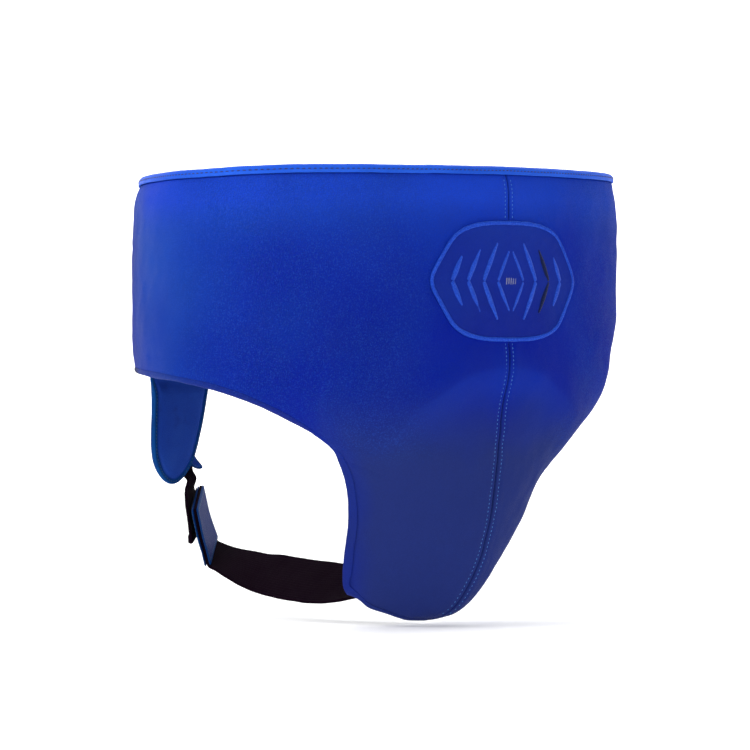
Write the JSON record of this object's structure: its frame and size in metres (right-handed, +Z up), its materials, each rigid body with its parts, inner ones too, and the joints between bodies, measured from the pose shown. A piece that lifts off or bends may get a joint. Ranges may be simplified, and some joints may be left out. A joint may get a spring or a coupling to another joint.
{
  "type": "boxing groin protector",
  "caption": "Padded hip-and-groin protector with a hard cup, wrap-round hip wings, rear hook-and-loop straps, a hanging tail and an elastic crotch strap.",
  "frame": {"origin": "centre of the waist opening, level with its rim", "axes": "+Z up, towards the wearer's chest; -Y is the front, over the belly; +X is the wearer's left; the groin part hangs down -Z at the front, and the tail and straps are at +Y"},
  "size_m": [0.4096, 0.3183, 0.3124],
  "materials": {
    "cover_leather": "grained royal-blue cowhide, semi-matte",
    "rim_leather": "smooth bright-blue piping leather",
    "edge_leather": "folded edge leather, royal blue",
    "tab_leather": "cut leather with dyed teal-blue edges",
    "seam_thread": "light-blue bonded thread",
    "satin_thread": "satin-stitched embroidery thread, bright blue",
    "lining_cloth": "dark blue water-resistant lining",
    "foam": "closed-cell foam, not visible",
    "cup_plastic": "moulded shell, not visible",
    "gasket_rubber": "extruded edging, not visible",
    "elastic": "black woven elastic",
    "loop_cloth": "black brushed loop",
    "hook_tape": "black hook tape"
  },
  "bodies": {
    "shell": {"outer_cover_right": "cover_leather", "outer_cover_left": "cover_leather", "front_seam_thread": "seam_thread", "emblem_border": "satin_thread", "emblem_motif": "satin_thread", "top_binding": "rim_leather", "leg_binding_right": "edge_leather", "leg_binding_left": "edge_leather", "wing_end_binding_right": "edge_leather", "wing_end_binding_left": "edge_leather", "belly_foam_outer": "foam", "belly_foam_inner": "foam", "hip_foam_outer_right": "foam", "hip_foam_outer_left": "foam", "hip_foam_inner_right": "foam", "hip_foam_inner_left": "foam", "groin_foam": "foam", "hard_cup": "cup_plastic", "cup_rim_gasket": "gasket_rubber", "cup_liner_pad": "foam", "waist_lining": "lining_cloth", "groin_lining": "lining_cloth", "back_flap_cover": "cover_leather", "back_flap_foam": "foam", "closure_anchor_patch": "cover_leather", "loop_panel": "loop_cloth", "upper_strap_root": "elastic", "lower_strap_root": "elastic", "crotch_root_tab": "cover_leather"},
    "upper_closure_strap": {"upper_strap_webbing": "elastic", "upper_strap_hook": "hook_tape", "upper_strap_tab": "tab_leather"},
    "lower_closure_strap": {"lower_strap_webbing": "elastic", "lower_strap_hook": "hook_tape", "lower_strap_tab": "tab_leather"},
    "tail": {"tail_cover": "cover_leather", "tail_core": "foam", "tail_binding": "edge_leather", "tail_keeper_tab": "tab_leather", "tail_strap_root": "elastic"},
    "tail_strap": {"tail_strap": "elastic"},
    "crotch_strap": {"crotch_strap": "elastic", "crotch_patch_front": "tab_leather", "crotch_patch_rear": "tab_leather", "crotch_strap_hook": "hook_tape"}
  },
  "joints": [
    {"name": "upper_closure_peel", "type": "hinge", "parent": "shell", "child": "upper_closure_strap", "pos_m": [-0.04153, 0.14631, -0.041], "axis": [0, 0, 1], "range_deg": [0, 110]},
    {"name": "lower_closure_peel", "type": "hinge", "parent": "shell", "child": "lower_closure_strap", "pos_m": [-0.04153, 0.14631, -0.099], "axis": [0, 0, 1], "range_deg": [0, 110]},
    {"name": "crotch_release", "type": "hinge", "parent": "shell", "child": "crotch_strap", "pos_m": [0, -0.0629, -0.2883], "axis": [1, 0, 0], "range_deg": [-45, 0]},
    {"name": "tail_swing", "type": "hinge", "parent": "shell", "child": "tail", "pos_m": [0, 0.1432, -0.1443], "axis": [1, 0, 0], "range_deg": [0, 72]},
    {"name": "tail_strap_peel", "type": "hinge", "parent": "tail", "child": "tail_strap", "pos_m": [0.0102, 0.1483, -0.2025], "axis": [0.9976, 0.0698, 0], "range_deg": [0, 18]}
  ],
  "couplings": [
    {"joint": "tail_swing", "follows": "crotch_release", "ratio": -1.6}
  ]
}
